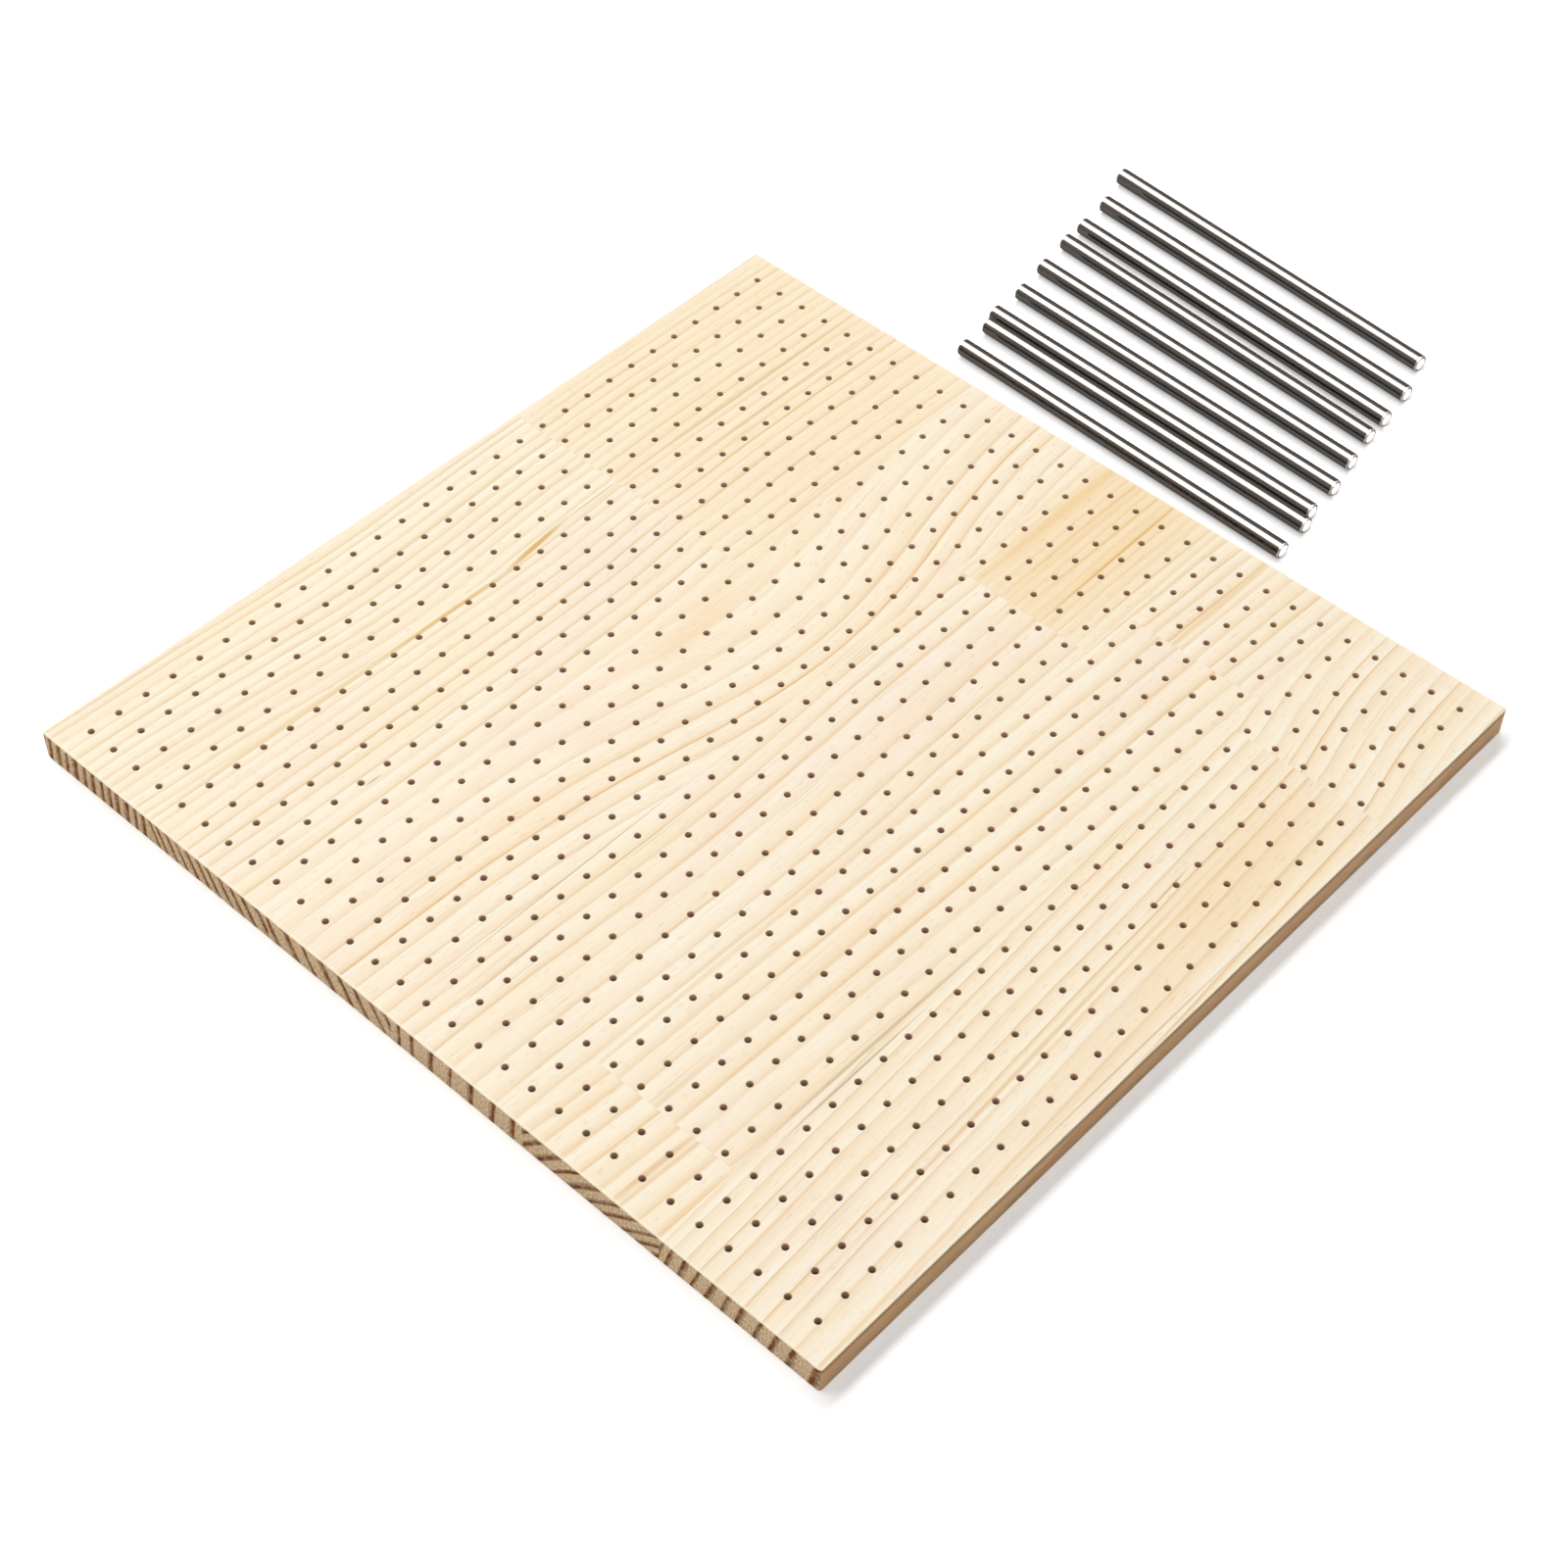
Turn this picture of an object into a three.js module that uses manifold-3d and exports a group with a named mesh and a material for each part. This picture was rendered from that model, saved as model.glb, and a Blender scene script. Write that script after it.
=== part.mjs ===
// A blocking board: an edge-glued pine panel drilled with a square grid of blind peg holes,
// and the set of loose steel pins that goes with it, lying behind it.
// Millimetres, +Z up. The origin is the centre of the board's underside, +Y runs along the
// grain towards the pins, and +X runs across the staves.

import * as THREE from 'three';
import { mergeGeometries, mergeVertices } from 'three/addons/utils/BufferGeometryUtils.js';
import Module from 'manifold-3d';

// The panel
const boardLength = 300; // along the grain
const boardThickness = 10;
const arris = 0.8; // how far every outer edge is eased
const arrisFacets = 1;
const faceCornerRadius = 1.2; // rounding of the flat face's corners in plan
const cornerFacets = 2; // half as many as each corner gets

// The peg holes, drilled as one grid centred on the board
const pegPitch = 10;
const edgeMargin = 10; // least distance from an outer hole's centre to the board's edge
const pegHoleDiameter = 2.1;
const pegHoleFloor = 2; // wood left under each blind hole
const pegHoleSides = 4; // the drill circle is drawn as a square that just takes it in

// The finger joints, cut through the thickness, so that each shows as a straight line on top
const fingerLength = 5.5;
const fingerPitch = 4;
const fingerTip = 0.5; // blunt end of each finger
const rowsBehindLastJoint = 2; // fewest rows of holes behind a joint, on a shorter board

// The staves from left to right. A joint lies in the gap after a row of holes, counted from the
// front, and its line on the top face is at the front or the back of the fingers.
const staves = [
  {
    width: 47,
    sections: [['left_edge_stave_front', 0xf7e8cd], ['left_edge_stave_back', 0xf7e6ca]],
    joints: [{ afterRow: 18, topLine: 'back' }],
  },
  {
    width: 50,
    sections: [['second_stave_front', 0xf7e7cb], ['second_stave_back', 0xf7e5c6]],
    joints: [{ afterRow: 18, topLine: 'back' }],
  },
  {
    width: 49.5,
    sections: [['third_stave', 0xf8e8ce]],
    joints: [],
  },
  {
    width: 50,
    sections: [['fourth_stave_front', 0xf7e6cc], ['fourth_stave_back', 0xf5deb9]],
    joints: [{ afterRow: 23, topLine: 'front' }],
  },
  {
    width: 49,
    sections: [
      ['fifth_stave_front', 0xf8e5c7],
      ['fifth_stave_middle', 0xf8e7cc],
      ['fifth_stave_back', 0xf6e2c3],
    ],
    joints: [{ afterRow: 2, topLine: 'back' }, { afterRow: 25, topLine: 'front' }],
  },
  {
    width: 54.5,
    sections: [['right_edge_stave_front', 0xf7e5ca], ['right_edge_stave_back', 0xf6e3c8]],
    joints: [{ afterRow: 23, topLine: 'back' }],
  },
];

// The pins
const pinLength = 134;
const pinDiameter = 5.8;
const pinChamfer = 0.5; // at both ends
const pinSides = 10;

// Where each pin lies on the table: how far behind the board's back edge, how far to the side of
// the board's middle, and how far it is turned, in degrees
const pinPlaces = [
  { behind: 16.5, aside: -7.0, turn: -1.9 },
  { behind: 30.7, aside: -8.3, turn: -1.9 },
  { behind: 37.0, aside: -10.6, turn: -1.9 },
  { behind: 51.4, aside: -11.6, turn: -2.3 },
  { behind: 66.0, aside: -14.7, turn: -3.0 },
  { behind: 80.9, aside: -17.5, turn: -3.8 },
  { behind: 91.6, aside: -18.6, turn: -3.9 },
  { behind: 106.6, aside: -20.7, turn: -4.0 },
  { behind: 122.6, aside: -26.1, turn: -4.3 },
];

// Finishes
const pineRoughness = 0.6;
const steelColour = 0x8f8a86;
const steelRoughness = 0.25;

// Values worked out from those above
const boardWidth = staves.reduce((sum, stave) => sum + stave.width, 0);
const pinRadius = pinDiameter / 2;
const cutOvershoot = 1; // how far a cutting shape runs past the wood
const countTolerance = 1e-6; // keeps a margin that is exactly full from losing its last hole
const columns = holesAlong(boardWidth);
const rows = holesAlong(boardLength);

const wasm = await Module();
wasm.setup();

// How many holes fit between the margins of a side
function holesAlong(side) {
  return Math.floor((side - 2 * edgeMargin) / pegPitch + countTolerance) + 1;
}

// The place of hole number index in a line of count holes centred on the board
function holeAt(index, count) {
  return (index - (count - 1) / 2) * pegPitch;
}

// A closed surface as a solid that can be cut
function toSolid(geometry) {
  const bare = geometry.clone();
  bare.deleteAttribute('normal');
  bare.deleteAttribute('uv');
  const merged = mergeVertices(bare);
  const mesh = new wasm.Mesh({
    numProp: 3,
    vertProperties: new Float32Array(merged.attributes.position.array),
    triVerts: new Uint32Array(merged.index.array),
  });
  return new wasm.Manifold(mesh);
}

// A solid's surface, as triangles
function toGeometry(solid) {
  const mesh = solid.getMesh();
  const geometry = new THREE.BufferGeometry();
  geometry.setAttribute('position', new THREE.BufferAttribute(mesh.vertProperties, 3));
  geometry.setIndex(new THREE.BufferAttribute(mesh.triVerts, 1));
  geometry.computeVertexNormals();
  return geometry;
}

// The whole panel before it is parted into staves: a slab with rounded corners and edges
function panelBlank() {
  const halfWidth = boardWidth / 2 - arris;
  const halfLength = boardLength / 2 - arris;
  const radius = faceCornerRadius;
  const outline = new THREE.Shape();
  outline.absarc(halfWidth - radius, halfLength - radius, radius, 0, Math.PI / 2);
  outline.absarc(radius - halfWidth, halfLength - radius, radius, Math.PI / 2, Math.PI);
  outline.absarc(radius - halfWidth, radius - halfLength, radius, Math.PI, 1.5 * Math.PI);
  outline.absarc(halfWidth - radius, radius - halfLength, radius, 1.5 * Math.PI, 2 * Math.PI);
  const slab = new THREE.ExtrudeGeometry(outline, {
    depth: boardThickness - 2 * arris,
    curveSegments: cornerFacets,
    bevelThickness: arris,
    bevelSize: arris,
    bevelSegments: arrisFacets,
  });
  slab.translate(0, 0, arris);
  return toSolid(slab);
}

// Every peg hole of the grid, as the solid that the drill takes out
function pegHoles() {
  const radius = pegHoleDiameter / 2 / Math.cos(Math.PI / pegHoleSides);
  const corners = [];
  for (let corner = 0; corner < pegHoleSides; corner += 1) {
    const turn = ((corner + 0.5) * 2 * Math.PI) / pegHoleSides;
    corners.push(new THREE.Vector2(radius * Math.cos(turn), radius * Math.sin(turn)));
  }
  const depth = boardThickness - pegHoleFloor + cutOvershoot;
  const drill = new THREE.ExtrudeGeometry(new THREE.Shape(corners), { depth, bevelEnabled: false });
  drill.translate(0, 0, pegHoleFloor);
  const holes = [];
  for (let column = 0; column < columns; column += 1) {
    for (let row = 0; row < rows; row += 1) {
      holes.push(drill.clone().translate(holeAt(column, columns), holeAt(row, rows), 0));
    }
  }
  return toSolid(mergeGeometries(holes));
}

// A finger joint's section, as points (y, z) from above the top face to below the underside
function fingerLine(joint) {
  const row = Math.min(joint.afterRow, rows - rowsBehindLastJoint);
  const middle = holeAt(row - 1, rows) + pegPitch / 2;
  const topSide = joint.topLine === 'back' ? 1 : -1;
  const steps = Math.max(1, Math.round((2 * boardThickness) / fingerPitch));
  const stepHeight = boardThickness / steps;
  const points = [];
  for (let step = 0; step <= steps; step += 1) {
    const side = step % 2 === 0 ? topSide : -topSide;
    const y = middle + (side * fingerLength) / 2;
    const level = boardThickness - step * stepHeight;
    const above = step === 0 ? cutOvershoot : fingerTip / 2;
    const below = step === steps ? cutOvershoot : fingerTip / 2;
    points.push(new THREE.Vector2(y, level + above));
    points.push(new THREE.Vector2(y, level - below));
  }
  return points;
}

// A straight end, past the end of the board
function endLine(side) {
  const y = side * (boardLength / 2 + cutOvershoot);
  return [
    new THREE.Vector2(y, boardThickness + cutOvershoot),
    new THREE.Vector2(y, -cutOvershoot),
  ];
}

// The space of one section of a stave: its side view, between two lines, swept across the stave
function sectionSpace(frontLine, backLine, left, right) {
  const outline = new THREE.Shape([...frontLine, ...backLine.toReversed()]);
  const space = new THREE.ExtrudeGeometry(outline, { depth: right - left, bevelEnabled: false });
  space.translate(0, 0, left);
  const along = new THREE.Vector3(0, 1, 0);
  const up = new THREE.Vector3(0, 0, 1);
  const across = new THREE.Vector3(1, 0, 0);
  space.applyMatrix4(new THREE.Matrix4().makeBasis(along, up, across));
  return toSolid(space);
}

// The board: the drilled panel, parted into its staves and their sections
function board() {
  const group = new THREE.Group();
  const panel = panelBlank().subtract(pegHoles());
  let left = -boardWidth / 2;
  staves.forEach((stave, number) => {
    const right = left + stave.width;
    const leftCut = number === 0 ? left - cutOvershoot : left;
    const rightCut = number === staves.length - 1 ? right + cutOvershoot : right;
    const lines = [endLine(-1), ...stave.joints.map(fingerLine), endLine(1)];
    stave.sections.forEach(([name, colour], index) => {
      const space = sectionSpace(lines[index], lines[index + 1], leftCut, rightCut);
      const wood = new THREE.MeshStandardMaterial({ color: colour, roughness: pineRoughness });
      const mesh = new THREE.Mesh(toGeometry(panel.intersect(space)), wood);
      mesh.name = name;
      group.add(mesh);
    });
    left = right;
  });
  return group;
}

// A pin along +X, centred, resting on z = 0
function pinGeometry() {
  const half = pinLength / 2;
  const profile = [
    new THREE.Vector2(0, -half),
    new THREE.Vector2(pinRadius - pinChamfer, -half),
    new THREE.Vector2(pinRadius, pinChamfer - half),
    new THREE.Vector2(pinRadius, half - pinChamfer),
    new THREE.Vector2(pinRadius - pinChamfer, half),
    new THREE.Vector2(0, half),
  ];
  const pin = new THREE.LatheGeometry(profile, pinSides, Math.PI / pinSides);
  pin.rotateZ(Math.PI / 2);
  pin.translate(0, 0, pinRadius * Math.cos(Math.PI / pinSides));
  return pin;
}

// The loose set of pins behind the board
function pins() {
  const group = new THREE.Group();
  group.position.y = boardLength / 2;
  const geometry = pinGeometry();
  pinPlaces.forEach((place, index) => {
    const steel = new THREE.MeshStandardMaterial({
      color: steelColour, roughness: steelRoughness, metalness: 1,
    });
    const mesh = new THREE.Mesh(geometry, steel);
    mesh.name = `steel_pin_${index + 1}`;
    mesh.position.set(place.aside, place.behind, 0);
    mesh.rotation.z = THREE.MathUtils.degToRad(place.turn);
    group.add(mesh);
  });
  return group;
}

const group = new THREE.Group();
group.add(board(), pins());

export default group;
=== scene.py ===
# A blocking board: an edge-glued pine panel drilled with a grid of peg holes, and nine loose steel
# pins behind it. Sizes are in millimetres unless a comment says otherwise, and +Y runs back along
# the grain.

import math

import bmesh
import bpy
from mathutils import Matrix, Vector


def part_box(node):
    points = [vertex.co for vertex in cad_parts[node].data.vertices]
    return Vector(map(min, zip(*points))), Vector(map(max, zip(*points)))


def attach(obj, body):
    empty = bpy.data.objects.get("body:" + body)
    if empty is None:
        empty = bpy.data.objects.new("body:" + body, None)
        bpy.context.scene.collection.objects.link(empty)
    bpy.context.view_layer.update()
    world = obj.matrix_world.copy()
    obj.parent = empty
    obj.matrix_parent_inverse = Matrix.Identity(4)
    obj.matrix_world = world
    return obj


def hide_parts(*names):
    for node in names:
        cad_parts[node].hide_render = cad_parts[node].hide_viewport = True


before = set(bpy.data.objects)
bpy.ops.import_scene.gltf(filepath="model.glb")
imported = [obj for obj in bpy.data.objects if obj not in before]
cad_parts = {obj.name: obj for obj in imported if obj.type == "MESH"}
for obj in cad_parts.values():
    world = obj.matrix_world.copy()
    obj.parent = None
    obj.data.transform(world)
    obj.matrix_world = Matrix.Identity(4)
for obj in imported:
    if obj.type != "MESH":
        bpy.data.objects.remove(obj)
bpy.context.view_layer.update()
mm = 0.001


# Everyday steps

def linearColour(hexColour):
    channels = [int(hexColour[start:start + 2], 16) / 255 for start in (1, 3, 5)]
    return [c / 12.92 if c <= 0.04045 else ((c + 0.055) / 1.055) ** 2.4 for c in channels] + [1]


def newMaterial(name):
    material = bpy.data.materials.new(name)
    material.use_nodes = True
    material.node_tree.nodes.clear()
    return material, material.node_tree


def addNode(tree, kind, links=None, **settings):
    # links gives a socket's value, its hex colour, or the node or output that feeds it.
    # A Mix of colours takes its share at socket 0 and the two colours at 6 and 7.
    node = tree.nodes.new("ShaderNode" + kind)
    for name, value in settings.items():
        setattr(node, name, value)
    for socket, value in (links or {}).items():
        if isinstance(value, bpy.types.Node):
            value = next(output for output in value.outputs if output.enabled)
        if isinstance(value, bpy.types.NodeSocket):
            tree.links.new(value, node.inputs[socket])
        elif isinstance(value, str):
            node.inputs[socket].default_value = linearColour(value)
        else:
            node.inputs[socket].default_value = value
    return node


def setRamp(ramp, stops):
    # stops are (place, colour) or (place, grey)
    elements = ramp.color_ramp.elements
    while len(elements) < len(stops):
        elements.new(0.5)
    for element, (place, shade) in zip(elements, stops):
        element.position = place
        element.color = linearColour(shade) if isinstance(shade, str) else [shade] * 3 + [1]
    ramp.color_ramp.interpolation = "EASE"


def only(kind, things):
    return [thing for thing in things if isinstance(thing, kind)]


def finishPiece(name, bm, materials, body, replaced):
    # turns a bmesh in millimetres into a piece at the origin that rides on its body
    bmesh.ops.scale(bm, vec=(mm, mm, mm), verts=bm.verts)
    mesh = bpy.data.meshes.new(name)
    bm.to_mesh(mesh)
    bm.free()
    piece = bpy.data.objects.new(name, mesh)
    bpy.context.scene.collection.objects.link(piece)
    for material in materials:
        mesh.materials.append(material)
    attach(piece, body)
    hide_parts(replaced)


# Camera: the photograph's place, looking down from the right front corner

cameraView = {
    "aim": (16.65, -17.78, 10),  # the point in the middle of the frame
    "distance": 823,
    "azimuth": 40.93,            # degrees, like the two turns below it
    "elevation": 49.09,
    "roll": 2.1,
    "lens": 66.65,
    "clip": (0.01, 50),          # metres
}


def makeCamera():
    look = cameraView
    azimuth, elevation = math.radians(look["azimuth"]), math.radians(look["elevation"])
    camera = bpy.data.objects.new("photoCamera", bpy.data.cameras.new("photoCamera"))
    bpy.context.scene.collection.objects.link(camera)
    camera.data.lens = look["lens"]
    camera.data.clip_start, camera.data.clip_end = look["clip"]
    camera.matrix_world = (
        Matrix.Translation(Vector(look["aim"]) * mm)
        @ Matrix.Rotation(azimuth, 4, "Z")
        @ Matrix.Rotation(math.pi / 2 - elevation, 4, "X")
        @ Matrix.Rotation(math.radians(look["roll"]), 4, "Z")
        @ Matrix.Translation((0, 0, look["distance"] * mm))
    )
    bpy.context.scene.camera = camera


makeCamera()
print("camera set")


# The panel, its grid of holes and its finger joints

panel = {
    "side": 300, "thickness": 10, "arris": 0.4, "arrisSteps": 3,
    "cornerRadius": 1.1, "cornerSteps": 4,
    "weld": 0.001,    # points nearer than this are one
}
pegHoles = {
    "pitch": 10, "count": 29, "diameter": 2.1, "sides": 16,
    "floor": 2,       # wood left under each hole
    "rim": 0.1,       # easing of its mouth
}
fingers = {
    "length": 5.5, "steps": 5,
    "tip": 0.5,       # blunt end of each finger
    "past": 2,        # how far the cutting shape runs past the panel
}
gridHalf = pegHoles["pitch"] * (pegHoles["count"] - 1) / 2  # from the middle to an outer hole


# Pine. Softwood, sawn, planed and sanded but not varnished: pale cream early wood with soft tan
# late-wood lines that run the length of each stave, matt to the eye, and browner on the sawn edges.

pine = {
    "slot": "pine",
    "roughness": 0.6,
    "sheen": 0.1,             # specular level
    "relief": 0.03,           # late wood stands this proud after sanding,
    "fibreRelief": 0.6,       # and fibres by this share of it
    "pale": "#fef3de", "plain": "#fbebd1", "warm": "#fbddaa", "rose": "#fae3d3",

    # late wood, the line that ends each ring
    "line": "#e4bb78",
    "lineWidth": 1.1,
    "lineMix": 0.9,           # how strongly the darkest lines show
    "lineLeast": 0.3,         # and the faintest, as a share of that
    "fading": (0.6, 1.15),    # a line's strength where it is weakest and strongest along itself
    "faint": (0, 1, 1),       # lines left of the first x keep only the last value as their share,
                              # and those right of the second x are in full
    "waver": (13, 48),        # width and length of the bends in a line
    "waverReach": 1.5,
    "uneven": (0.55, 0.8),    # how quickly the spacing varies, per ring, and how far, in rings

    # streaks, whose colours are warm, rose, line and these two
    "bandMix": 0.26, "blushMix": 0.3, "fibreMix": 0.21,
    "hairMix": 0.16, "hairColour": "#b09468",
    "fleckMix": 0.3, "fleckColour": "#b78d5c",

    # painted highlight: the rim of the face is painted a little paler, as where the top edge catches
    # the light
    "paintedRimHighlight": "#fff5da", "paintedRimHighlightMix": 0.6,
    "paintedRimHighlightWidth": 1.2, "paintedRimHighlightFull": 0.4,  # how far from the edge it starts and is full

    # the long sawn sides
    # the second colour browns the fibres and is the painted shade under the top edge
    "sideTint": "#f6d4b0", "sideFibreAndPaintedShade": "#8a6540",
    "sideLines": 0.55,        # how much of the face's figure they keep
    "paintedShadeUnderEdge": (2.6, 0.8),  # how far down the painted shade under the top edge starts and is full
    "paintedShadeUnderEdgeMix": 0.5,

    # end grain, which is open and hardly shines
    "endPale": "#ffe7c0", "endLine": "#743600", "endRust": "#945608", "endSheen": 0.05,
    "endWidth": 1.8,          # of the late wood, which shows broader here
    "endLeast": 0.8,          # strength of its faintest lines
    "endPatchy": (0.8, 1.3),  # how far the depth of colour varies
    "blotch": 3,              # how far it stays the same
    "ragged": 0.9,            # how far the edges of a line stray
    "pore": (0.625, 1.25),    # width and height, far coarser than the real 0.03, so as to show
    "pit": "#c4842c", "pitMix": 0.6,
}

# How pale the early wood is across one ring, whose line is in the middle, and how dark the late
# wood is across its line on the face and on the end grain, in the line's own widths
earlyTone = [(0, 0.55), (0.3, 0), (0.62, 1), (0.78, 0.95), (1, 0.55)]
faceLine = [(-1.9, 0), (-0.8, 0.25), (-0.1, 1), (0.2, 0.85), (0.55, 0)]
endGrainLine = [(-1.1, 0), (-0.5, 0.6), (-0.15, 1), (0.2, 0.9), (0.5, 0)]

# Streaks that follow the lines: width and length, detail of the noise, and the values of the noise
# from which a streak shows and is full. Real tracheids are 0.03 wide and resin canals 0.2, too
# fine to show, so they are drawn wider.
streakKinds = {
    "band": (9, 130, 1, 0.38, 0.68),   # broad drifts of warmer wood
    "blush": (24, 70, 1, 0.5, 0.72),   # and of pinker wood
    "fibre": (0.5, 18, 2, 0.4, 0.75),
    "hair": (0.6, 50, 0, 0.72, 0.8),   # odd thin grey-brown lines
    "fleck": (0.32, 4, 0, 0.72, 0.8),  # resin canals
}


def stopsAcross(line, share):
    # a line's places as places in its ring, of which the line's width is this share
    return [(max(0.02, 0.5 + place * share), shade) for place, shade in line]


def pineMaterial(name, look):
    # look is the dictionary above with what one length of a stave has of its own: where its rings
    # lie, how they run, and what stands out in it. Places are measured from the left front hole,
    # x to the right, y back, and z is 0 at the top.
    left, right = look["span"]
    ringWidth = sum(look["ringWidth"]) / 2
    material, tree = newMaterial(name)
    coordinates = addNode(tree, "TexCoord")
    place = addNode(tree, "Mapping", {
        "Vector": coordinates.outputs["Object"], "Scale": [1 / mm] * 3,
        "Location": (gridHalf, gridHalf, -panel["thickness"])})
    axes = addNode(tree, "SeparateXYZ", {0: place})

    # Lines drift sideways in slow bulges, each (x, y, half width, half length, reach)
    drift = addNode(tree, "Math", {0: axes.outputs["Y"], 1: look["slope"]}, operation="MULTIPLY")
    for x, y, wide, long, reach in look["bulges"]:
        near = addNode(tree, "VectorMath", {
            0: place, 1: (1 / wide, 1 / long, 0), 2: (-x / wide, -y / long, 0)},
            operation="MULTIPLY_ADD")
        square = addNode(tree, "VectorMath", {0: near, 1: near}, operation="DOT_PRODUCT")
        hill = addNode(tree, "Math", {0: math.exp(-1), 1: square}, operation="POWER")
        drift = addNode(tree, "Math", {0: hill, 1: reach, 2: drift}, operation="MULTIPLY_ADD")
    bendWide, bendLong = look["waver"]
    slow = addNode(tree, "VectorMath", {
        0: place, 1: (1 / bendWide, 1 / bendLong, 1 / bendWide), 2: [look["seed"]] * 3},
        operation="MULTIPLY_ADD")
    waver = addNode(tree, "TexNoise", {"Vector": slow, "Scale": 1, "Detail": 2, "Roughness": 0.45})
    leanLeft, leanRight = (lean / panel["thickness"] for lean in look["lean"])
    lean = addNode(tree, "MapRange", {
        "Value": axes.outputs["X"], "From Min": left, "From Max": right,
        "To Min": leanLeft, "To Max": leanRight}, clamp=False)
    across = addNode(tree, "Math", {0: axes.outputs["X"], 1: drift}, operation="SUBTRACT")
    across = addNode(tree, "Math", {
        0: waver, 1: look["waverReach"], 2: across}, operation="MULTIPLY_ADD")
    across = addNode(tree, "Math", {
        0: axes.outputs["Z"], 1: lean, 2: across}, operation="MULTIPLY_ADD")

    # Rings are counted from the first dark line, and widen or narrow across the stave
    start = addNode(tree, "Math", {
        0: across, 1: look["firstLine"] + look["waverReach"] / 2}, operation="SUBTRACT")
    leftRate, rightRate = (1 / width for width in look["ringWidth"])
    change = (rightRate - leftRate) / (2 * (right - left))
    rate = addNode(tree, "Math", {0: start, 1: change, 2: leftRate}, operation="MULTIPLY_ADD")
    count = addNode(tree, "Math", {0: rate, 1: start, 2: 0.5}, operation="MULTIPLY_ADD")
    quickness, unevenReach = look["uneven"]
    unevenAt = addNode(tree, "Math", {0: count, 1: quickness}, operation="MULTIPLY")
    uneven = addNode(tree, "TexNoise", {
        "W": unevenAt, "Scale": 1, "Detail": 1}, noise_dimensions="1D")
    count = addNode(tree, "Math", {
        0: uneven, 1: unevenReach, 2: count}, operation="MULTIPLY_ADD")
    count = addNode(tree, "Math", {0: count, 1: unevenReach / 2}, operation="SUBTRACT")
    phase = addNode(tree, "Math", {0: count}, operation="FRACT")
    if look["barkSide"] == "left":
        phase = addNode(tree, "Math", {0: 1.0, 1: phase}, operation="SUBTRACT")

    # Within a ring the wood is palest just past the last line and deepens slowly to the next
    early = addNode(tree, "ValToRGB", {0: phase})
    setRamp(early, earlyTone)
    late = addNode(tree, "ValToRGB", {0: phase})
    setRamp(late, stopsAcross(faceLine, look["lineWidth"] / ringWidth))

    # Each line has its own depth, which varies along it
    ring = addNode(tree, "Math", {0: count}, operation="FLOOR")
    ringName = addNode(tree, "Math", {0: ring, 1: look["seed"]}, operation="ADD")
    chance = addNode(tree, "TexWhiteNoise", {"W": ringName}, noise_dimensions="1D")
    depth = addNode(tree, "MapRange", {
        "Value": chance, "To Min": look["lineLeast"], "To Max": 1.0})
    fadedMost, deepest = look["fading"]
    fading = addNode(tree, "MapRange", {
        "Value": waver.outputs["Color"], "From Min": 0.3, "From Max": 0.7,
        "To Min": fadedMost, "To Max": deepest})
    depth = addNode(tree, "Math", {0: depth, 1: fading}, operation="MULTIPLY")
    faintAt, plainAt, least = look["faint"]
    faint = addNode(tree, "MapRange", {
        "Value": across, "From Min": faintAt, "From Max": plainAt, "To Min": least})
    depth = addNode(tree, "Math", {0: depth, 1: faint}, operation="MULTIPLY")
    darkness = addNode(tree, "Math", {0: late, 1: depth}, operation="MULTIPLY")
    lineMix = addNode(tree, "Math", {0: darkness, 1: look["lineMix"]}, operation="MULTIPLY",
                      use_clamp=True)

    # Fibres, flecks and broad drifts of colour follow the lines
    along = addNode(tree, "CombineXYZ", {
        "X": across, "Y": axes.outputs["Y"], "Z": axes.outputs["Z"]})
    streaks = {}
    for kind, (wide, long, detail, shows, full) in streakKinds.items():
        stretched = addNode(tree, "VectorMath", {
            0: along, 1: (1 / wide, 1 / long, 1 / wide), 2: [look["seed"] * 3] * 3},
            operation="MULTIPLY_ADD")
        noise = addNode(tree, "TexNoise", {"Vector": stretched, "Scale": 1, "Detail": detail})
        streaks[kind] = addNode(tree, "MapRange", {
            "Value": noise, "From Min": shows, "From Max": full, "To Max": look[kind + "Mix"]})

    # What stands out by itself, each (x, y, turn, half width, half length, colour, strength)
    deep = 1000  # so that it goes right through the wood
    spots = {}
    for kind in ("patches", "marks"):
        spots[kind] = []
        for x, y, turn, wide, long, colour, strength in look[kind]:
            near = addNode(tree, "Mapping", {
                "Vector": place, "Location": (x, y, 0), "Rotation": (0, 0, math.radians(turn)),
                "Scale": (wide, long, deep)}, vector_type="TEXTURE")
            distance = addNode(tree, "VectorMath", {0: near}, operation="LENGTH")
            spot = addNode(tree, "MapRange", {
                "Value": distance, "From Min": 1, "From Max": 0.25, "To Max": strength},
                interpolation_type="SMOOTHSTEP")
            spots[kind].append((spot, colour))

    # The planed face, laid up from the palest wood to the darkest marks
    bare = addNode(tree, "Mix", {0: early, 6: look["plain"], 7: look["pale"]}, data_type="RGBA")
    face = bare
    layers = [
        (streaks["band"], look["warm"]), (streaks["blush"], look["rose"]), *spots["patches"],
        (lineMix, look["line"]), (streaks["fibre"], look["line"]),
        (streaks["hair"], look["hairColour"]), (streaks["fleck"], look["fleckColour"]),
        *spots["marks"],
    ]
    for factor, colour in layers:
        face = addNode(tree, "Mix", {0: factor, 6: face, 7: colour}, data_type="RGBA")
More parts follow.
